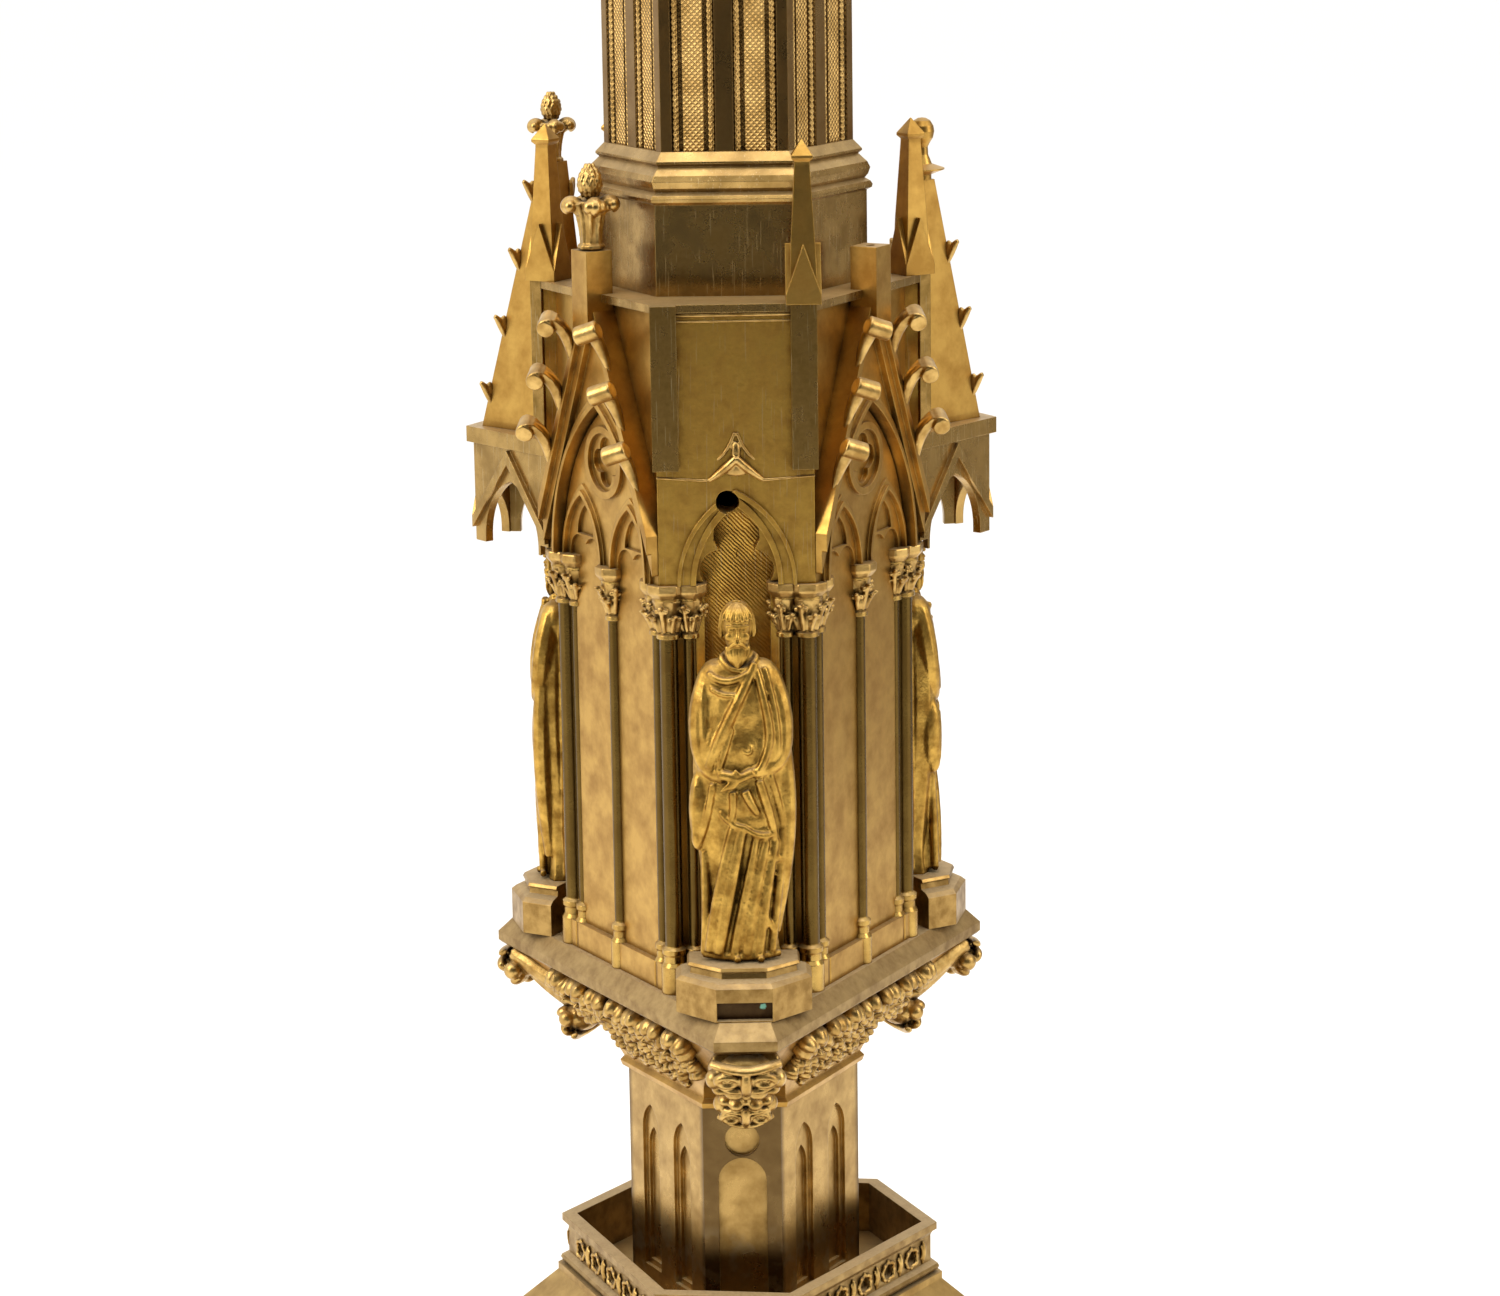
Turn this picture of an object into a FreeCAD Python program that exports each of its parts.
import FreeCAD, Part
import math
import os

# A Gothic Revival candelabrum of gilt bronze castings, stacked on a tie rod. Millimetres, +Z up,
# origin on the floor under the middle. The plan is an alternating hexagon: three narrow faces (front,
# right, left) carry statues and three wide faces (wide right, wide left, rear) carry tracery.
# A pair (n, w) gives the distances of the narrow and the wide faces from the axis.

V = FreeCAD.Vector
UP = V(0, 0, 1)

# ---------------------------------------------------------------- driving dimensions
# heights, each measured from the piece below
foot_height = 24.0
plinth_height = 34.0
base_height = 124.0
slope_height = 35.7
gallery_height = 17.3
pillar_height = 72.7
corbel_height = 34.4
ledge_height = 8.7
knop_height = 214.8
top_plate_height = 2.5
drum_height = 43.6
shaft_height = 205.0
capital_height = 36.0
boss_height = 30.0
stem_height = 86.0

# plan sizes (narrow faces, wide faces)
plinth_plan = (112.0, 99.0)
base_plan = (94.0, 81.0)
gallery_plan = (59.5, 49.4)
pillar_plan = (36.4, 29.0)
ledge_corner_reach = 33.0
ledge_overhang = 4.2
rim_overhang = 1.3
knop_plan = (54.5, 48.0)
drum_apothem = 37.2
shaft_apothem = 33.6
capital_spread = 13.0
boss_apothem = 30.0

# turns of the loosely clamped castings about the rod, in degrees
base_turn = -7.0
pillar_turn = -1.6
shaft_turn = -2.6

# walls and fits
casting_wall = 4.0
rod_radius = 5.0
rod_clearance = 0.5
thread_clearance = 0.05
hood_screw_radius = 3.55
screw_clearance = 0.05

# knop
column_height = 131.0
column_base_height = 8.7
column_capital_height = 16.0
corner_column_radius = 2.8
flank_column_radius = 2.0
panel_depth = 3.5
niche_half_width = 10.2
niche_depth = 9.5
big_arch_half = 29.0
big_arch_rise = 51.0
lancet_half = 11.6
lancet_rise = 20.5
oculus_radius = 9.2
oculus_height = 33.0
gable_over_plate = 7.7
gable_inset = 0.2
gable_foot_rise = 15.5
rake_width = 5.2
rake_depth = 4.0
stub_width = 9.6
stub_height = 15.8
finial_pin_radius = 1.4
finial_gap = 0.5
strip_width = 7.9
strip_inset = 2.76
strip_depth = 4.0
strip_drop = 50.3
pinnacle_width = 10.7
pinnacle_height = 49.0
pinnacle_inset = 0.6
canopy_screw_drop = 60.6
canopy_screw_x = -2.6
niche_head_spread = 2.4
niche_head_rise = 24.5
niche_roll_gap = 4.6

# hoods and spires
hood_projection = 37.5
hood_front_half = 9.0
hood_overhang = 0.64
hood_height = 37.8
hood_drop = 51.3
hood_slab = 5.1
hood_wall = 3.0
spire_projection = {"right": 17.6, "left": 10.2}
spire_height = {"right": 78.0, "left": 86.1}
spire_foot_inset = 3.5
spire_top_half = 3.4
spire_finial_scale = 0.85

# statues
pedestal_projection = 27.9
pedestal_front_half = 8.7
pedestal_half = 21.0
pedestal_height = 16.0
column_clearance = 13.2
statue_height = 112.5
statue_projection = 9.5
statue_half_width = 15.0

# branches
arm_reach = 130.0
arm_radius = 4.6
arm_rise = 57.0
candle_radius = 11.0
candle_depth = 24.0
nozzle_wall = 2.0
nozzle_height = 42.0
pan_radius = 34.0
pan_clearance = 0.6
pan_lip = 5.0

# ---------------------------------------------------------------- levels worked out from the heights
z_plinth = foot_height
z_base = z_plinth + plinth_height
z_slope = z_base + base_height
z_gallery = z_slope + slope_height
z_rim = z_gallery + gallery_height
z_corbel = z_gallery + pillar_height
z_ledge = z_corbel + corbel_height
z_knop = z_ledge + ledge_height
z_spring = z_knop + column_height
z_plate = z_knop + knop_height
z_drum = z_plate + top_plate_height
z_shaft = z_drum + drum_height
z_capital = z_shaft + shaft_height
z_boss = z_capital + capital_height
z_stem = z_boss + boss_height
z_stem_top = z_stem + stem_height
z_arm_top = z_boss + arm_rise

# sizes that follow the knop's plan
knop_narrow_half = (knop_plan[1] - knop_plan[0] / 2.0) / math.sin(math.radians(60.0))
knop_wide_half = (knop_plan[0] - knop_plan[1] / 2.0) / math.sin(math.radians(60.0))
ledge_plan = (knop_plan[0] + ledge_corner_reach, knop_plan[1] + ledge_overhang)
rim_half_length = knop_wide_half + rim_overhang
gable_half = knop_wide_half - gable_inset
strip_offset = knop_narrow_half - strip_inset
hood_reach = knop_plan[0] + hood_projection
hood_back_half = knop_narrow_half + hood_overhang
pedestal_reach = knop_plan[0] + pedestal_projection
statue_axis = knop_plan[0] + statue_projection

NARROW = {"front": 0.0, "right": 120.0, "left": -120.0}
WIDE = {"wide_right": 60.0, "wide_left": -60.0, "rear": 180.0}
parts = {}


# ---------------------------------------------------------------- helpers
def grown(plan, offset):
    """The plan with every face moved outwards by offset."""
    return (plan[0] + offset, plan[1] + offset)


def turned_about_z(shape, degrees):
    """A copy of shape, turned about the axis of the object."""
    copy = shape.copy()
    copy.rotate(V(0, 0, 0), UP, degrees)
    return copy


def hexagon(plan, z):
    """The six corners of an alternating hexagon at height z."""
    narrow, wide = plan
    half = (wide - narrow / 2.0) / math.sin(math.radians(60.0))
    corners = []
    for azimuth in (0.0, 120.0, 240.0):
        angle = math.radians(azimuth)
        for x in (-half, half):
            corners.append(V(x * math.cos(angle) + narrow * math.sin(angle),
                             x * math.sin(angle) - narrow * math.cos(angle), z))
    return corners


def wire(points):
    """A closed wire of straight edges."""
    return Part.makePolygon(list(points) + [points[0]])


def stacked(levels):
    """A solid through hexagons given as (z, plan), with flat faces between them."""
    solid = Part.makeLoft([wire(hexagon(plan, z)) for z, plan in levels], True, True)
    return solid


def prism(points, z0, z1):
    """An upright prism on a plan polygon of (x, y) points."""
    face = Part.Face(wire([V(x, y, z0) for x, y in points]))
    return face.extrude(V(0, 0, z1 - z0))


def slab(outline, y0, y1):
    """A plate with an (x, z) outline, from distance y0 to distance y1 in front of the axis."""
    face = Part.Face(wire([V(x, -y0, z) for x, z in outline]))
    return face.extrude(V(0, y0 - y1, 0))


def block(half, y0, y1, z0, z1, x=0.0):
    """A box of half width half, centred at x, from distance y0 to y1 in front of the axis."""
    return Part.makeBox(2.0 * half, y1 - y0, z1 - z0, V(x - half, -y1, z0))


def drill(radius, z0, z1):
    """A cylinder on the axis."""
    return Part.makeCylinder(radius, z1 - z0, V(0, 0, z0))


def spun(outline, x=0.0, y=0.0):
    """A turned solid about the upright line at (x, y) from an (r, z) outline that ends on the axis."""
    face = Part.Face(wire([V(x + r, y, z) for r, z in outline]))
    return face.revolve(V(x, y, 0), UP, 360.0)


def pointed(half, z0, rise, x=0.0):
    """The face of a pointed arch in the plane y = 0: half width, springing level z0 and rise."""
    radius = (half * half + rise * rise) / (2.0 * half)
    left = V(x - half, 0, z0)
    right = V(x + half, 0, z0)
    apex = V(x, 0, z0 + rise)
    turn = math.asin(min(1.0, rise / radius)) / 2.0
    bulge_x = half - radius + radius * math.cos(turn)
    bulge_z = z0 + radius * math.sin(turn)
    rising = Part.Arc(right, V(x + bulge_x, 0, bulge_z), apex).toShape()
    falling = Part.Arc(apex, V(x - bulge_x, 0, bulge_z), left).toShape()
    return Part.Face(Part.Wire([Part.makeLine(left, right), rising, falling]))


def arch(half, z0, rise, y0, y1, x=0.0, foot=0.0):
    """A solid pointed arch head from distance y0 to y1, with straight legs foot long below z0."""
    head = pointed(half, z0, rise, x)
    head.translate(V(0, -y0, 0))
    solid = head.extrude(V(0, y0 - y1, 0))
    if foot > 0.0:
        solid = solid.fuse(block(half, y0, y1, z0 - foot, z0, x)).removeSplitter()
    return solid


def arch_band(half, z0, rise, width, y0, y1, x=0.0, foot=0.0):
    """A raised moulding of that width along the outside of a pointed arch."""
    outer = arch(half + width, z0, rise + width * rise / half, y0, y1, x, foot)
    inner = arch(half, z0, rise, y0 - 1.0, y1 + 1.0, x, foot + 1.0)
    return outer.cut(inner)


def rod_hole(z0, z1):
    """The clearance hole for the tie rod."""
    return drill(rod_radius + rod_clearance, z0 - 1.0, z1 + 1.0)


def one_solid(shape):
    """The only solid of a boolean result."""
    shape = shape.removeSplitter()
    solids = shape.Solids
    if len(solids) != 1:
        raise ValueError("expected one solid, got %d" % len(solids))
    return solids[0]


def around(name, shape, places, turn=0.0):
    """One copy of shape at each of the named azimuths, each in its own node."""
    for place, azimuth in places.items():
        parts[name + "_" + place] = turned_about_z(shape, azimuth + turn)


# ---------------------------------------------------------------- base (outside the picture, guessed)
def foot():
    """A turned bun foot under a narrow corner."""
    return spun([(0, 0), (15, 0), (17, 3), (17, 6), (12, 9), (15.5, 12), (17, 16), (15.5, 20),
                 (13, z_plinth), (0, z_plinth)], 0.0, -(plinth_plan[0] - 21.0))


def base_plinth():
    """A moulded hollow plinth with a floor that the feet are screwed to."""
    low = z_plinth
    outer = stacked([(low, plinth_plan), (low + 9, plinth_plan), (low + 11, grown(plinth_plan, -2.5)),
                     (low + 16, grown(plinth_plan, -4)), (low + 20, grown(plinth_plan, -8)),
                     (low + 25, grown(plinth_plan, -9)), (low + 28, grown(plinth_plan, -7)),
                     (low + 31, grown(plinth_plan, -9)), (z_base, grown(base_plan, 3))])
    hollow = stacked([(low + 5, grown(base_plan, -3.0)), (z_base + 1, grown(base_plan, -3.0))])
    window = stacked([(low - 1, grown(base_plan, -30.0)), (low + 6, grown(base_plan, -30.0))])
    return one_solid(outer.cut(hollow).cut(window))


def base_body():
    """The tall hollow base with a blind arcade on every face."""
    low = z_base
    top = z_slope
    narrow, wide = base_plan
    body = stacked([(low, grown(base_plan, 1.5)), (low + 4, grown(base_plan, 1.5)), (low + 6, base_plan),
                    (top - 14, grown(base_plan, -5)), (top - 12, grown(base_plan, -3)),
                    (top - 9, grown(base_plan, 1)), (top - 5, grown(base_plan, 2)),
                    (top, grown(base_plan, -1))])
    hollow = stacked([(low - 1, grown(base_plan, -10)), (top + 1, grown(base_plan, -10))])
    body = body.cut(hollow)
    spring = top - 52
    for azimuth in NARROW.values():
        recess = arch(17, spring, 26, narrow - 7.5, narrow + 5, 0.0, spring - low - 16)
        body = body.cut(turned_about_z(recess, azimuth))
    for azimuth in WIDE.values():
        for x in (-28.0, 0.0, 28.0):
            recess = arch(11, spring, 22, wide - 7.5, wide + 5, x, spring - low - 16)
            body = body.cut(turned_about_z(recess, azimuth))
    return one_solid(body)


def base_slope():
    """The sloping top of the base, with a floor that carries the gallery and the pillar."""
    low = z_slope
    top = z_gallery
    outer = stacked([(low, grown(base_plan, -1)), (low + 3, grown(base_plan, -1)),
                     (top - 2.5, grown(gallery_plan, 1.5)), (top, grown(gallery_plan, 1.5))])
    hollow = stacked([(low - 1, grown(base_plan, -1 - casting_wall)),
                      (low + 2, grown(base_plan, -1 - casting_wall)),
                      (top - casting_wall, grown(gallery_plan, -casting_wall))])
    return one_solid(outer.cut(hollow).cut(rod_hole(low, top)))


# ---------------------------------------------------------------- gallery and pillar
def gallery():
    """An open parapet with a torus foot, a frieze of round pits and a moulded rim."""
    low = z_gallery
    top = z_rim
    p = gallery_plan
    outer = stacked([(low, grown(p, -1.2)), (low + 0.9, grown(p, 0.3)), (low + 1.9, grown(p, 0.7)),
                     (low + 2.9, grown(p, 0.3)), (low + 3.8, grown(p, -1.8)),
                     (top - 4.4, grown(p, -1.8)), (top - 3.2, grown(p, -1.2)),
                     (top - 2.4, grown(p, 0)), (top, p)])
    inner = stacked([(low - 1, grown(p, -4.4)), (top + 1, grown(p, -4.4))])
    wall = outer.cut(inner)
    pitch = 13.6
    middle = (low + top) / 2.0 - 0.4
    pit_floor = 3.2
    for azimuth, distance, count in ([(a, p[0], 3) for a in NARROW.values()]
                                     + [(a, p[1], 5) for a in WIDE.values()]):
        for i in range(count):
            x = (i - (count - 1) / 2.0) * pitch
            pit = Part.makeCylinder(2.3, 8.0, V(x, -(distance - pit_floor), middle), V(0, -1, 0))
            wall = wall.cut(turned_about_z(pit, azimuth))
    return one_solid(wall)


def lower_pillar():
    """The short hollow pillar, with sunk lancets and an oculus on each narrow face."""
    low = z_gallery
    top = z_corbel
    narrow, wide = pillar_plan
    body = stacked([(low, pillar_plan), (top, pillar_plan)])
    body = body.cut(stacked([(low + casting_wall, grown(pillar_plan, -6)), (top + 1, grown(pillar_plan, -6))]))
    body = body.cut(rod_hole(low, top))
    for azimuth in NARROW.values():
        eye = Part.makeCylinder(5.6, 4.0, V(0, -(narrow - 1.8), top - 11.4), V(0, -1, 0))
        lancet = arch(7.8, top - 25.4, 8.0, narrow - 1.8, narrow + 1.0, 0.0, top - 32.4 - low)
        body = body.cut(turned_about_z(eye.fuse(lancet), azimuth))
    for azimuth in WIDE.values():
        for x in (-10.6, 10.6):
            outer = arch(5.6, top - 19.0, 9.0, wide - 1.2, wide + 1.0, x, top - 25.0 - low)
            inner = arch(3.6, top - 25.0, 7.0, wide - 2.4, wide, x, top - 33.0 - low)
            body = body.cut(turned_about_z(outer.fuse(inner), azimuth))
    return one_solid(body)


def corbel():
    """The hollow core of the foliage corbel, a cove that spreads from the pillar to the ledge."""
    low = z_corbel
    top = z_ledge
    levels = [(low, grown(pillar_plan, 1.6)), (low + 1.8, grown(pillar_plan, 2.2)),
              (low + 3.2, grown(pillar_plan, 1.0))]
    steps = 6
    for i in range(1, steps + 1):
        s = i / steps
        spread = s ** 1.45
        narrow = pillar_plan[0] + 1.5 + (ledge_plan[0] - 7.0 - pillar_plan[0] - 1.5) * spread
        wide = pillar_plan[1] + 1.5 + (ledge_plan[1] - 4.5 - pillar_plan[1] - 1.5) * spread
        levels.append((low + 3.2 + (corbel_height - 4.8) * s, (narrow, wide)))
    levels.append((top, levels[-1][1]))
    hollow = stacked([(low + casting_wall, grown(pillar_plan, -4)), (low + 14, grown(pillar_plan, -2)),
                      (top + 1, grown(knop_plan, -11))])
    return one_solid(stacked(levels).cut(hollow).cut(rod_hole(low, top)))


def ledge():
    """The ledge, cut into three straight rims and three corner shelves that carry the statues."""
    low = z_ledge
    top = z_knop
    rim = low + 4.0
    deck = (ledge_plan[0] - 4.6, knop_plan[1] + 0.2)
    ring = stacked([(low, grown(ledge_plan, -1.0)), (low + 1.0, ledge_plan), (rim, ledge_plan), (top, deck)])
    ring = ring.cut(stacked([(low - 1, grown(knop_plan, -8)), (top + 1, grown(knop_plan, -8))]))
    cutter = block(rim_half_length, knop_plan[1] - 8.5, ledge_plan[1] + 5.0, low - 1, top + 1)
    cutters = [turned_about_z(cutter, azimuth) for azimuth in WIDE.values()]
    parts["ledge_rims"] = Part.Compound([one_solid(ring.common(tool)) for tool in cutters])
    rest = ring
    for tool in cutters:
        rest = rest.cut(tool)
    for place, azimuth in NARROW.items():
        angle = math.radians(azimuth)
        towards = V(math.sin(angle), -math.cos(angle), 0)
        nearest = max(rest.Solids, key=lambda solid: solid.CenterOfMass.dot(towards))
        parts["corner_shelf_" + place] = nearest


# ---------------------------------------------------------------- knop
def knop_face(offset, narrow_face):
    """The two corners, as (x, distance), of a knop face moved outwards by offset, seen face on."""
    narrow, wide = grown(knop_plan, offset)
    if narrow_face:
        half = (wide - narrow / 2.0) / math.sin(math.radians(60.0))
        return half, narrow
    half = (narrow - wide / 2.0) / math.sin(math.radians(60.0))
    return half, wide


def knop_plate(depth, outer_offset, narrow_face, z0, z1):
    """A plate along a knop face, mitred at the corners so that neighbours meet without overlap."""
    half_out, far = knop_face(outer_offset, narrow_face)
    half_in, near = knop_face(outer_offset - depth, narrow_face)
    return prism([(-half_out, -far), (half_out, -far), (half_in, -near), (-half_in, -near)], z0, z1)


def column(x, y, radius, z0):
    """One colonnette with base, shaft ring and the bell and abacus of its capital."""
    top = z0 + column_height
    bell = top - column_capital_height
    r = radius
    wide = r + 2.0
    return spun([(0, z0), (r + 1.4, z0), (r + 1.4, z0 + column_base_height), (r + 0.6, z0 + 10.0),
                 (r + 0.6, z0 + 12.0), (r + 1.1, z0 + 12.8), (r + 1.1, z0 + 14.2), (r, z0 + 15.0),
                 (r, bell - 1.6), (r + 0.9, bell - 1.2), (r + 0.9, bell), (r + 0.1, bell + 0.6),
                 (r + 0.5, bell + 5.0), (r + 1.6, bell + 9.5), (wide, top - 5.0), (wide, top), (0, top)], x, y)


def corner_cluster():
    """Three engaged colonnettes in front of a pier, at the front left corner of the knop."""
    half, distance = knop_face(0.0, True)
    corner = V(-half, -distance, 0)
    inward = V(0.5, math.cos(math.radians(30.0)), 0)
    across = V(math.cos(math.radians(30.0)), -0.5, 0)
    top = z_knop + column_height

    def at(depth, side):
        return corner + inward * depth + across * side

    pier_plan = [at(5.2, -1.2), at(8.9, -5.2), at(13.5, -7.4), at(13.5, 7.4), at(8.9, 5.2), at(5.2, 1.2)]
    pier = prism([(p.x, p.y) for p in pier_plan], z_knop, top)
    cluster = pier
    for depth, side, radius in ((5.2, 0.0, corner_column_radius), (8.9, -5.6, flank_column_radius),
                                (8.9, 5.6, flank_column_radius)):
        centre = at(depth, side)
        cluster = cluster.fuse(column(centre.x, centre.y, radius, z_knop))
    return one_solid(cluster)


def mullion():
    """The single colonnette in the middle of a wide face."""
    face = knop_plan[1] - panel_depth
    return column(0.0, -(face - 0.3), flank_column_radius + 0.1, z_knop)


def gable():
    """The gable of a wide face: a plate pierced by the great arch, moulded rakes and a stub on top."""
    face = knop_plan[1] - panel_depth
    foot = z_spring + gable_foot_rise
    apex = z_plate + gable_over_plate
    low = z_spring
    half = gable_half
    plate = slab([(-half, low), (half, low), (half, foot), (0, apex), (-half, foot)], face, face + panel_depth)
    plate = plate.cut(arch(big_arch_half, low, big_arch_rise, face - 1, face + 10, 0.0, 2.0))
    rise = (apex - foot) / half
    run = math.sqrt(1.0 + rise * rise)
    drop = rake_width * run
    for width_share, depth in ((1.0, rake_depth * 0.55), (0.45, rake_depth)):
        fall = drop * width_share
        rakes = slab([(-half, foot), (0, apex), (half, foot), (half, foot - fall), (0, apex - fall),
                      (-half, foot - fall)], face, face + panel_depth + depth)
        plate = plate.fuse(rakes)
    for width, depth in ((2.6, 1.0), (1.1, 2.0)):
        plate = plate.fuse(arch_band(big_arch_half, low, big_arch_rise, width, face, face + panel_depth + depth))
    sector = knop_plate(20.0, 12.0, False, low - 1, apex + 1)
    plate = plate.common(sector)
    stub_top = z_plate + stub_height
    stub = block(stub_width / 2.0, face + 0.5, face + 9.5, z_plate - 12.0, stub_top)
    socket = Part.makeCylinder(finial_pin_radius + thread_clearance, 6.0, V(0, -(face + 5.0), stub_top - 5.0))
    return one_solid(plate.fuse(stub).cut(socket))


def tracery_panel(clusters, mullions):
    """The wall behind a gable: sunk bays, two cusped lancets and a foiled oculus."""
    deep = knop_plan[1] - panel_depth
    panel = knop_plate(casting_wall, -panel_depth, False, z_knop, z_plate)
    footing = knop_plate(casting_wall + 2.0, -panel_depth + 2.0, False, z_knop, z_knop + column_base_height)
    tympanum = arch(big_arch_half - 0.4, z_spring, big_arch_rise - 0.8, deep, deep + 1.6)
    middle = z_spring + oculus_height
    for x in (-1.0, 1.0):
        centre = x * (big_arch_half - lancet_half - 2.2)
        tympanum = tympanum.cut(arch(lancet_half, z_spring, lancet_rise, deep - 1, deep + 3, centre, 1.0))
    tympanum = tympanum.cut(Part.makeCylinder(oculus_radius, 5.0, V(0, -(deep - 1.0), middle), V(0, -1, 0)))
    panel = panel.fuse(footing).fuse(tympanum)
    for x in (-1.0, 1.0):
        centre = x * (big_arch_half - lancet_half - 2.2)
        for width, depth in ((2.0, 2.2), (0.9, 3.0)):
            panel = panel.fuse(arch_band(lancet_half, z_spring, lancet_rise, width, deep, deep + depth, centre))
        inner = lancet_half - 3.4
        head = arch(lancet_half, z_spring, lancet_rise, deep, deep + 1.2, centre)
        light = arch(inner * 0.62, z_spring + 7.5, 9.5, deep - 1, deep + 2, centre)
        for side in (-1.0, 1.0):
            lobe = Part.makeCylinder(inner * 0.66, 4.0, V(centre + side * inner * 0.55, -(deep - 1), z_spring + 1.5),
                                     V(0, -1, 0))
            light = light.fuse(lobe)
        panel = panel.fuse(head.cut(light))
    ring = Part.makeCylinder(oculus_radius + 2.2, 3.0, V(0, -deep, middle), V(0, -1, 0))
    ring = ring.cut(Part.makeCylinder(oculus_radius, 5.0, V(0, -(deep - 1.0), middle), V(0, -1, 0)))
    foil = Part.makeCylinder(oculus_radius + 0.3, 1.6, V(0, -deep, middle), V(0, -1, 0))
    for quarter in range(4):
        angle = math.radians(90.0 * quarter)
        lobe_centre = V(4.2 * math.cos(angle), -(deep - 1.0), middle + 4.2 * math.sin(angle))
        foil = foil.cut(Part.makeCylinder(3.7, 4.0, lobe_centre, V(0, -1, 0)))
    panel = panel.fuse(ring)
    if foil.Solids:
        panel = panel.fuse(foil)
    for piece in clusters + mullions:
        panel = panel.cut(piece)
    solids = sorted(panel.removeSplitter().Solids, key=lambda solid: -solid.Volume)
    return solids[0]


def niche_plate(clusters):
    """The plate of a narrow face: a flat upper field and a pointed statue niche with its arch."""
    far = knop_plan[0]
    plate = knop_plate(casting_wall, 0.0, True, z_spring, z_plate)
    box = block(niche_half_width + 4.5, far - niche_depth - 3.0, far - casting_wall, z_knop, z_spring + 30.0)
    footing = block(niche_half_width + 2.0, far - niche_depth, far - 1.0, z_knop, z_knop + 0.5)
    plate = plate.fuse(box)
    head_half = niche_half_width + niche_head_spread
    back = far - niche_depth
    opening = block(niche_half_width, back, far + 1.0, z_knop - 1.0, z_spring + 1.0)
    opening = opening.fuse(arch(head_half, z_spring, niche_head_rise, back, far + 1.0))
    plate = plate.cut(opening).fuse(footing)
    for gap, width, depth in ((0.0, 1.6, 0.7), (niche_roll_gap, 1.1, 1.3)):
        plate = plate.fuse(arch_band(head_half + gap, z_spring, niche_head_rise + gap * 0.7, width,
                                     far - 1.0, far + depth))
    cusps = arch(head_half, z_spring, niche_head_rise, back, far - 3.0)
    foil = arch(head_half * 0.56, z_spring + 13.0, niche_head_rise - 16.0, back - 1.0, far)
    for x, z, radius in ((0.0, 15.0, 0.56), (0.40, 4.0, 0.50), (-0.40, 4.0, 0.50)):
        centre = V(x * head_half, -(back - 1.0), z_spring + z)
        foil = foil.fuse(Part.makeCylinder(radius * head_half, niche_depth + 2.0, centre, V(0, -1, 0)))
    cusps = cusps.cut(foil).cut(block(30, 0, 100, z_spring - 40, z_spring + 0.5))
    plate = plate.fuse(cusps)
    hole = Part.makeCylinder(hood_screw_radius + screw_clearance, niche_depth + 12.0,
                             V(canopy_screw_x, -(back - 5.0), z_drum - canopy_screw_drop), V(0, -1, 0))
    plate = plate.cut(hole)
    for piece in clusters:
        plate = plate.cut(piece)
    solids = sorted(plate.removeSplitter().Solids, key=lambda solid: -solid.Volume)
    return solids[0]


def buttress_strip(side):
    """A flat upright strip beside a canopy, with the square seat of a pinnacle on its top."""
    far = knop_plan[0]
    return block(strip_width / 2.0, far, far + strip_depth, z_drum - strip_drop, z_drum, side * strip_offset)


def pinnacle(side):
    """A square pinnacle: a gabled block, a tapering shaft, a neck and a pyramid cap."""
    x = side * strip_offset
    y = -(knop_plan[0] - pinnacle_inset)
    low = z_drum
    h = pinnacle_width / 2.0

    def square(half, z):
        return wire([V(x - half, y - half, z), V(x + half, y - half, z), V(x + half, y + half, z),
                     V(x - half, y + half, z)])

    shaft = Part.makeLoft([square(h * 0.8, low), square(h * 0.68, low + 18), square(h * 0.43, low + 41.5),
                           square(h * 0.43, low + 42.5), square(h * 0.60, low + 43.5),
                           square(h * 0.60, low + 44.3), square(0.12, low + pinnacle_height)], True, True)
    for along in (V(1, 0, 0), V(0, 1, 0)):
        flat = V(-along.y, along.x, 0)
        corners = [V(x, y, low) - flat * h - along * h, V(x, y, low) + flat * h - along * h,
                   V(x, y, low + 3.0) + flat * h - along * h, V(x, y, low + 18.0) - along * h,
                   V(x, y, low + 3.0) - flat * h - along * h]
        shaft = shaft.fuse(Part.Face(wire(corners)).extrude(along * (2.0 * h)))
    return one_solid(shaft)


def top_plate(gables):
    """The thin plate that closes the knop under the drum."""
    plate = stacked([(z_plate, grown(knop_plan, 1.0)), (z_drum, grown(knop_plan, 1.0))])
    plate = plate.cut(rod_hole(z_plate, z_drum))
    for piece in gables:
        plate = plate.cut(piece)
    for azimuth in NARROW.values():
        for side in (-1, 1):
            plate = plate.cut(turned_about_z(buttress_strip(side), azimuth))
    return sorted(plate.Solids, key=lambda solid: -solid.Volume)[0]


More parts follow.
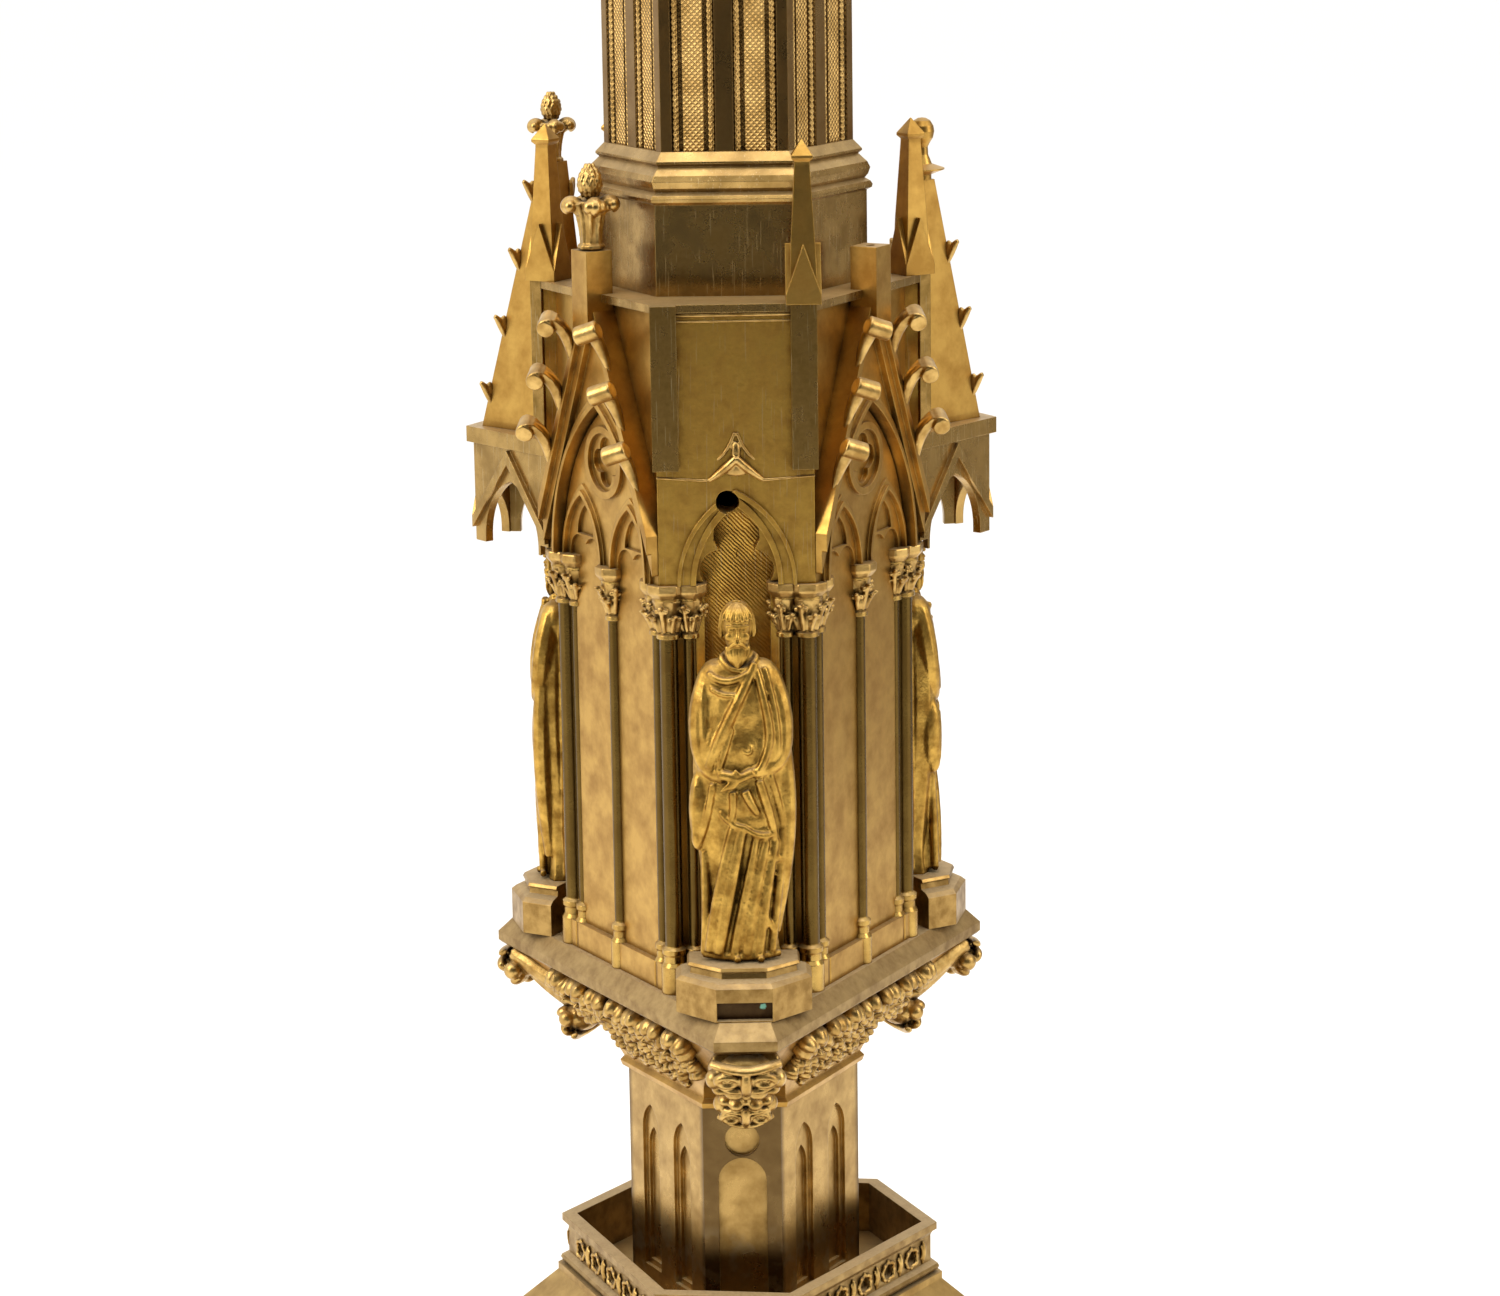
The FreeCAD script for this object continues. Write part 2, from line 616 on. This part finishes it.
# ---------------------------------------------------------------- canopies
def hood(neighbours):
    """A three-sided canopy with a gable and a pointed opening on each side, under a coping slab."""
    back = knop_plan[0] + 0.05
    low = z_drum - hood_drop - hood_height
    under = z_drum - hood_drop - hood_slab
    top = z_drum - hood_drop
    b = hood_back_half
    f = hood_front_half
    plan = [(-b, -back), (-f, -hood_reach), (f, -hood_reach), (b, -back)]
    inner = [(-b + hood_wall, -back + 1), (-f + hood_wall * 0.6, -hood_reach + hood_wall),
             (f - hood_wall * 0.6, -hood_reach + hood_wall), (b - hood_wall, -back + 1)]
    shell = prism(plan, low, under).cut(prism(inner, low - 1, under - 3.0))
    slab_plan = [(-b - 0.3, -back), (-f - 1.4, -hood_reach - 1.8), (f + 1.4, -hood_reach - 1.8), (b + 0.3, -back)]
    body = shell.fuse(prism(slab_plan, under, top))
    lug = block(9.0, back, back + 4.0, z_drum - canopy_screw_drop - 6.0, under, canopy_screw_x)
    body = body.fuse(lug)
    side_turn = math.degrees(math.atan2(b - f, hood_reach - back))
    length = math.hypot(b - f, hood_reach - back)
    middle = (hood_reach + back) / 2.0
    openings = [(0.0, 0.0, hood_reach, f - 2.6, 13.0, f * 2.0)]
    for side in (-1.0, 1.0):
        openings.append((side * (90.0 - side_turn), side * (b + f) / 2.0, middle, length / 2.0 - 5.5, 20.0, length))
    for azimuth, x, distance, half, rise, width in openings:
        tool = arch(half, low + 2.0, rise, -hood_wall * 2.2, 6.0, 0.0, 20.0)
        tool.rotate(V(0, 0, 0), UP, azimuth)
        tool.translate(V(x, -distance, 0))
        body = body.cut(tool)
        reach = width / 2.0
        apex = under - 0.5
        feet = low + 8.0
        rake = slab([(-reach, feet), (0, apex), (reach, feet), (reach, feet - 3.6), (0, apex - 4.6),
                     (-reach, feet - 3.6)], -1.0, 1.5)
        rake.rotate(V(0, 0, 0), UP, azimuth)
        rake.translate(V(x, -distance, 0))
        body = body.fuse(rake)
    wall = block(60.0, 0.0, back, low - 5, top + 5)
    capitals = block(60.0, 0.0, back + 4.0, min(low, z_spring) - 5, z_spring + 0.5)
    body = body.cut(wall).cut(capitals)
    for piece in neighbours:
        body = body.cut(piece)
    bore = Part.makeCylinder(hood_screw_radius + screw_clearance, 10.0,
                             V(canopy_screw_x, -(back - 3.0), z_drum - canopy_screw_drop), V(0, -1, 0))
    body = body.cut(bore)
    return sorted(body.removeSplitter().Solids, key=lambda solid: -solid.Volume)[0]


def hood_screw():
    """The screw that holds a canopy, put in from inside the knop."""
    start = V(canopy_screw_x, -(knop_plan[0] - niche_depth - 6.0), z_drum - canopy_screw_drop)
    head = Part.makeCylinder(5.0, 3.0, start, V(0, -1, 0))
    stem = Part.makeCylinder(hood_screw_radius, niche_depth + 9.0, start, V(0, -1, 0))
    return head.fuse(stem).removeSplitter()


def spire_place(side):
    """The distance of a spire's tip from the axis of the object, and its height."""
    return knop_plan[0] + spire_projection[side], z_drum - hood_drop + spire_height[side]


def spire(side):
    """A steep spire that stands on the coping slab of a canopy and clears the wall."""
    low = z_drum - hood_drop
    axis, top = spire_place(side)

    def ring(back, half_back, front, half_front, z):
        return wire([V(-half_back, -back, z), V(-half_front, -front, z), V(half_front, -front, z),
                     V(half_back, -back, z)])

    wall = knop_plan[0] + strip_depth + 0.6
    foot = hood_reach - spire_foot_inset
    tip = spire_top_half
    return one_solid(Part.makeLoft([ring(wall, 15.0, foot + 0.5, hood_front_half - 1.0, low),
                                    ring(wall, 15.0, foot, hood_front_half - 1.0, low + 2.0),
                                    ring(axis - tip, tip, axis + tip, tip * 0.6, top)], True, True))


def poppyhead(x, y, low, scale):
    """A finial: a flared neck, four leaf knobs and a pointed cone."""
    s = scale
    neck = spun([(0, low), (4.2 * s, low), (4.2 * s, low + 1.5 * s), (3.2 * s, low + 2.5 * s),
                 (3.4 * s, low + 8 * s), (5.0 * s, low + 12 * s), (4.0 * s, low + 15 * s),
                 (3.0 * s, low + 16 * s), (3.2 * s, low + 20 * s), (1.6 * s, low + 24.5 * s),
                 (0, low + 26 * s)], x, y)
    for quarter in range(4):
        angle = math.radians(90.0 * quarter)
        centre = V(x + 6.0 * s * math.cos(angle), y + 6.0 * s * math.sin(angle), low + 12.5 * s)
        neck = neck.fuse(Part.makeSphere(2.7 * s, centre))
    return one_solid(neck)


def ball_finial(x, y, low):
    """A turned finial: a sharp collar, a concave neck and a ball."""
    return spun([(0, low), (3.0, low), (3.0, low + 1.6), (7.2, low + 3.2), (7.2, low + 3.6), (3.2, low + 5.0),
                 (2.0, low + 8.0), (1.9, low + 10.4), (2.6, low + 11.8), (3.6, low + 13.4), (4.0, low + 15.4),
                 (3.7, low + 17.2), (2.7, low + 18.8), (1.3, low + 19.6), (0, low + 19.8)], x, y)


# ---------------------------------------------------------------- statues
def pedestal():
    """A polygonal pedestal with a moulded top and a sunk band on its front."""
    low = z_knop
    top = low + pedestal_height
    far = pedestal_reach
    back = knop_plan[0] + 5.0
    f = pedestal_front_half
    w = pedestal_half

    def plan(shrink):
        return [(-w + shrink, -back), (-w + shrink, -(far - 12.0)), (-f + shrink * 0.4, -(far - shrink)),
                (f - shrink * 0.4, -(far - shrink)), (w - shrink, -(far - 12.0)), (w - shrink, -back)]

    body = prism(plan(0.0), low, low + 10.5)
    levels = [(low + 10.5, 0.0), (low + 11.8, 1.6), (low + 12.6, 4.4), (top - 1.6, 4.8), (top - 1.0, 3.6),
              (top, 4.2)]
    steps = [wire([V(x, y, z) for x, y in plan(shrink)]) for z, shrink in levels]
    body = body.fuse(Part.makeLoft(steps, True, True))
    neck_half = min(niche_half_width - 1.2, knop_narrow_half - column_clearance)
    neck = block(neck_half, knop_plan[0] - niche_depth + 0.2, back, low + 0.6, top - 0.1)
    band = block(f - 0.2, far - 2.6, far + 1.0, low + 0.4, low + 6.2)
    return one_solid(body.fuse(neck).cut(band))


def statue():
    """The plain envelope of a robed standing figure."""
    low = z_knop + pedestal_height
    h = statue_height
    w = statue_half_width
    rings = []
    for share, width, depth, lean in ((0.0, 0.80, 8.2, 0.5), (0.25, 0.82, 8.0, 0.0), (0.50, 1.0, 8.4, 0.6),
                                      (0.66, 0.95, 8.8, 0.8), (0.76, 0.88, 7.6, 0.2), (0.815, 0.55, 5.6, 0.0)):
        ellipse = Part.Ellipse(V(0, -(statue_axis + lean), low + h * share), w * width, depth)
        rings.append(Part.Wire([ellipse.toShape()]))
    robe = Part.makeLoft(rings, True, False)
    head = Part.makeSphere(1.0)
    scaling = FreeCAD.Matrix()
    scaling.scale(5.4, 6.0, 0.105 * h)
    head = head.transformGeometry(scaling)
    head.translate(V(0, -(statue_axis + 0.5), low + h * 0.895))
    return one_solid(robe.fuse(head))


# ---------------------------------------------------------------- drum, shaft and capital
def regular(apothem):
    """The plan of a regular hexagon."""
    return (apothem, apothem)


def drum():
    """The plain hexagonal drum with the base moulding of the shaft, hollow."""
    top = z_shaft
    levels = [(z_drum, drum_apothem), (top - 15.7, drum_apothem), (top - 14.9, drum_apothem + 1.4),
              (top - 13.9, drum_apothem + 1.6), (top - 12.9, drum_apothem + 1.0), (top - 11.9, drum_apothem - 0.5),
              (top - 10.7, drum_apothem + 0.4), (top - 8.7, drum_apothem + 1.0), (top - 6.9, drum_apothem + 0.2),
              (top - 5.0, drum_apothem - 1.6), (top - 4.3, drum_apothem - 2.2), (top - 3.4, drum_apothem - 1.2),
              (top - 2.8, drum_apothem - 1.2), (top, shaft_apothem)]
    body = stacked([(z, regular(a)) for z, a in levels])
    hollow = stacked([(z_drum - 1, regular(drum_apothem - 6)), (top - casting_wall, regular(drum_apothem - 8))])
    return one_solid(body.cut(hollow).cut(rod_hole(z_drum, top)))


def shaft():
    """The fluted hexagonal shaft: two bays on each face, each a field between two beads."""
    side = 2.0 * shaft_apothem / math.sqrt(3.0)
    edge = side * 0.085
    middle = side * 0.070
    bay = side / 2.0 - edge - middle
    bead = bay * 0.16
    groove = bay * 0.085
    sunk = 0.9
    deep = 2.1
    outline = []
    for face in range(6):
        angle = math.radians(60.0 * face)
        along = V(math.cos(angle), math.sin(angle), 0)
        out = V(math.sin(angle), -math.cos(angle), 0)

        def at(u, depth):
            return along * u + out * (shaft_apothem - depth) + UP * z_shaft

        for start, sign in ((-side / 2.0 + edge, 1.0), (middle, 1.0)):
            outline.append(("line", at(start, 0.0)))
            outline.append(("line", at(start + 0.2, sunk + 0.5)))
            first = start + 0.2
            outline.append(("arc", at(first + bead / 2.0, 0.35), at(first + bead, sunk + 0.5)))
            outline.append(("line", at(first + bead + 0.1, deep)))
            outline.append(("line", at(first + bead + groove, deep)))
            outline.append(("line", at(first + bead + groove + 0.1, sunk)))
            last = start + bay - 0.2
            outline.append(("line", at(last - bead - groove - 0.1, sunk)))
            outline.append(("line", at(last - bead - groove, deep)))
            outline.append(("line", at(last - bead - 0.1, deep)))
            outline.append(("line", at(last - bead, sunk + 0.5)))
            outline.append(("arc", at(last - bead / 2.0, 0.35), at(last, sunk + 0.5)))
            outline.append(("line", at(start + bay, 0.0)))
        outline.append(("line", at(side / 2.0, 0.0)))
    edges = []
    here = outline[-1][1]
    for item in outline:
        target = item[-1]
        if item[0] == "arc":
            edges.append(Part.Arc(here, item[1], target).toShape())
        else:
            edges.append(Part.makeLine(here, target))
        here = target
    body = Part.Face(Part.Wire(edges)).extrude(V(0, 0, shaft_height))
    hollow = stacked([(z_shaft - 1, regular(shaft_apothem - 7)), (z_capital + 1, regular(shaft_apothem - 7))])
    return one_solid(body.cut(hollow))


def shaft_capital():
    """The moulded hexagonal capital on the shaft, hollow, with a closed top."""
    low = z_capital
    top = z_boss
    a = shaft_apothem
    s = capital_spread
    body = stacked([(low, regular(a + 0.5)), (low + 1.5, regular(a + 2.0)), (low + 3.0, regular(a + 0.5)),
                    (low + 5.0, regular(a - 1.0)), (low + 14, regular(a - 0.5)), (low + 22, regular(a + s * 0.35)),
                    (low + 26, regular(a + s * 0.8)), (low + 27, regular(a + s)), (top - 2.0, regular(a + s)),
                    (top, regular(a + s * 0.8))])
    hollow = stacked([(low - 1, regular(a - 7)), (top - casting_wall, regular(a - 7))])
    return one_solid(body.cut(hollow).cut(rod_hole(low, top)))


# ---------------------------------------------------------------- branches (outside the picture, guessed)
def branch_boss():
    """The hexagonal boss that takes the arms; the tie rod ends in it."""
    low = z_boss
    top = z_stem
    a = boss_apothem
    body = stacked([(low, regular(a - 3)), (low + 3, regular(a)), (top - 6, regular(a)), (top - 4, regular(a + 2)),
                    (top - 2, regular(a + 2)), (top, regular(a - 8))])
    rod = drill(rod_radius + thread_clearance, low - 1, low + 18.0)
    return one_solid(body.cut(rod))


def arm():
    """A round arm that leaves the boss level, dips clear of the capital and rises to its nozzle."""
    start = z_boss + boss_height * 0.62
    lean = math.radians(35.0)
    cosine = math.cos(lean)
    sine = math.sin(lean)
    level = boss_apothem + 8.0
    small = 18.0
    large = (arm_reach - level - small * cosine) / (1.0 + cosine)
    small_centre = (level, start - small)
    large_centre = (arm_reach - large, start - small + (small + large) * sine)

    def on(centre, radius, degrees):
        angle = math.radians(degrees)
        return V(0, -(centre[0] + radius * math.cos(angle)), centre[1] + radius * math.sin(angle))

    root = V(0, -boss_apothem, start)
    crest = on(small_centre, small, 90.0)
    join = on(small_centre, small, 35.0)
    outer = on(large_centre, large, 0.0)
    path = Part.Wire([Part.makeLine(root, crest),
                      Part.Arc(crest, on(small_centre, small, 62.0), join).toShape(),
                      Part.Arc(join, on(large_centre, large, 285.0), outer).toShape(),
                      Part.makeLine(outer, V(0, -arm_reach, z_arm_top))])
    section = Part.Wire([Part.Circle(root, V(0, -1, 0), arm_radius).toShape()])
    tube = path.makePipeShell([section], True, True)
    flange = block(9.0, boss_apothem, boss_apothem + 4.0, z_boss + 4.0, z_stem - 7.0)
    knot = Part.makeSphere(arm_radius * 1.5, on(large_centre, large, 270.0))
    collar = Part.makeSphere(arm_radius * 1.4, outer)
    return one_solid(tube.fuse(flange).fuse(knot).fuse(collar))


def nozzle(x, y, low):
    """A candle nozzle: a foot, a flange that carries the drip pan and the socket."""
    top = low + nozzle_height
    r = candle_radius + nozzle_wall
    seat = r + pan_clearance + 2.4
    floor = top - candle_depth
    return spun([(0, low), (7, low), (8, low + 2), (5.5, low + 4), (6, low + 6), (seat, low + 10),
                 (seat, low + 12), (r, low + 12), (r, top - 3), (r + 0.0, top), (candle_radius, top),
                 (candle_radius, floor), (0, floor)], x, y)


def drip_pan(x, y, low):
    """A dished pan that drops over the nozzle and rests on its flange."""
    z = low + 12.0
    hole = candle_radius + nozzle_wall + pan_clearance
    r = pan_radius
    outline = [(hole, z), (r - 8, z), (r - 2, z + 2), (r, z + pan_lip), (r - 1.6, z + pan_lip),
               (r - 3.4, z + 3.4), (r - 8.6, z + 1.6), (hole, z + 1.6)]
    return spun(outline, x, y)


def centre_stem():
    """The turned and faceted stem between the boss and the middle nozzle."""
    low = z_stem
    top = z_stem_top
    return spun([(0, low), (20, low), (20, low + 3), (13, low + 6), (9, low + 14), (8, low + 28), (14, low + 32),
                 (17, low + 38), (14, low + 44), (8, low + 48), (7, low + 62), (9, low + 74), (15, low + 80),
                 (15, top - 2), (12, top), (0, top)])


# ---------------------------------------------------------------- tie rod
def tie_rod_parts():
    """The rod that clamps the stack, with its nut and washer under the floor of the base top."""
    floor = z_gallery - casting_wall
    washer = drill(13.0, floor - 2.5, floor).cut(drill(rod_radius + rod_clearance, floor - 4, floor + 1))
    corners = [(9.0 * math.cos(math.radians(60 * i)), 9.0 * math.sin(math.radians(60 * i))) for i in range(6)]
    nut = prism(corners, floor - 10.5, floor - 2.5)
    nut = nut.cut(drill(rod_radius + thread_clearance, floor - 12, floor))
    parts["nut_and_washer"] = Part.Compound([nut, washer])
    parts["tie_rod"] = drill(rod_radius, floor - 16.0, z_boss + 17.0)


# ---------------------------------------------------------------- assembly
def build():
    """Makes every piece and puts it in its node."""
    parts["feet"] = Part.Compound([turned_about_z(foot(), a + base_turn) for a in NARROW.values()])
    parts["base_plinth"] = turned_about_z(base_plinth(), base_turn)
    parts["base_body"] = turned_about_z(base_body(), base_turn)
    parts["base_slope"] = turned_about_z(base_slope(), base_turn)
    parts["gallery"] = turned_about_z(gallery(), base_turn)
    parts["lower_pillar"] = turned_about_z(lower_pillar(), pillar_turn)
    parts["corbel"] = corbel()
    ledge()

    left_cluster = corner_cluster()
    right_cluster = left_cluster.mirror(V(0, 0, 0), V(1, 0, 0))
    pair = [left_cluster, right_cluster]
    all_clusters = [turned_about_z(c, a) for a in NARROW.values() for c in pair]
    for place, azimuth in NARROW.items():
        parts["colonnettes_" + place] = Part.Compound([turned_about_z(c, azimuth) for c in pair])
    parts["mullions"] = Part.Compound([turned_about_z(mullion(), a) for a in WIDE.values()])

    clusters_at_front = [turned_about_z(c, -60.0) for c in all_clusters]
    around("tracery_panel", tracery_panel(clusters_at_front, [mullion()]), WIDE)
    around("gable", gable(), WIDE)
    around("niche_plate", niche_plate(all_clusters), NARROW)
    gables = [parts["gable_" + place] for place in WIDE]
    parts["top_plate"] = top_plate(gables)

    parts["buttress_strips"] = Part.Compound(
        [turned_about_z(buttress_strip(side), a) for a in NARROW.values() for side in (-1, 1)])
    places = [(a, side) for a in NARROW.values() for side in (-1, 1) if (a, side) != (0.0, -1)]
    parts["pinnacles"] = Part.Compound([turned_about_z(pinnacle(side), a) for a, side in places])

    canopied = {"right": 120.0, "left": -120.0}
    neighbours = [parts["niche_plate_front"], parts["gable_wide_right"], parts["gable_wide_left"]]
    around("hood", hood(neighbours), canopied)
    for place, azimuth in canopied.items():
        parts["spire_" + place] = turned_about_z(spire(place), azimuth)
    parts["hood_screws"] = Part.Compound([turned_about_z(hood_screw(), a) for a in canopied.values()])
    axis, top = spire_place("left")
    left_finial = poppyhead(0.0, -axis, top, spire_finial_scale)
    parts["spire_finial_left"] = turned_about_z(left_finial, canopied["left"])
    axis, top = spire_place("right")
    parts["spire_finial_right"] = turned_about_z(ball_finial(0.0, -axis, top), canopied["right"])
    stub = knop_plan[1] - panel_depth + 5.0
    finial_foot = z_plate + stub_height + finial_gap
    pin = Part.makeCylinder(finial_pin_radius, finial_gap + 4.5, V(0, -stub, finial_foot - finial_gap - 4.0))
    gable_finial = one_solid(poppyhead(0.0, -stub, finial_foot, 1.0).fuse(pin))
    around("gable_finial", gable_finial, {"left": -60.0, "rear": 180.0})

    around("pedestal", pedestal(), NARROW)
    around("statue", statue(), NARROW)

    parts["drum"] = turned_about_z(drum(), shaft_turn)
    parts["shaft"] = turned_about_z(shaft(), shaft_turn)
    parts["shaft_capital"] = turned_about_z(shaft_capital(), shaft_turn)
    parts["branch_boss"] = branch_boss()
    around("arm", arm(), NARROW)
    parts["centre_stem"] = centre_stem()
    around("nozzle", nozzle(0.0, -arm_reach, z_arm_top), NARROW)
    parts["nozzle_centre"] = nozzle(0.0, 0.0, z_stem_top)
    around("drip_pan", drip_pan(0.0, -arm_reach, z_arm_top), NARROW)
    parts["drip_pan_centre"] = drip_pan(0.0, 0.0, z_stem_top)
    tie_rod_parts()


build()
os.makedirs("parts", exist_ok=True)
for node, shape in parts.items():
    shape.exportStep("parts/" + node + ".step")
    print(node, len(shape.Solids), round(shape.Volume), shape.isValid())
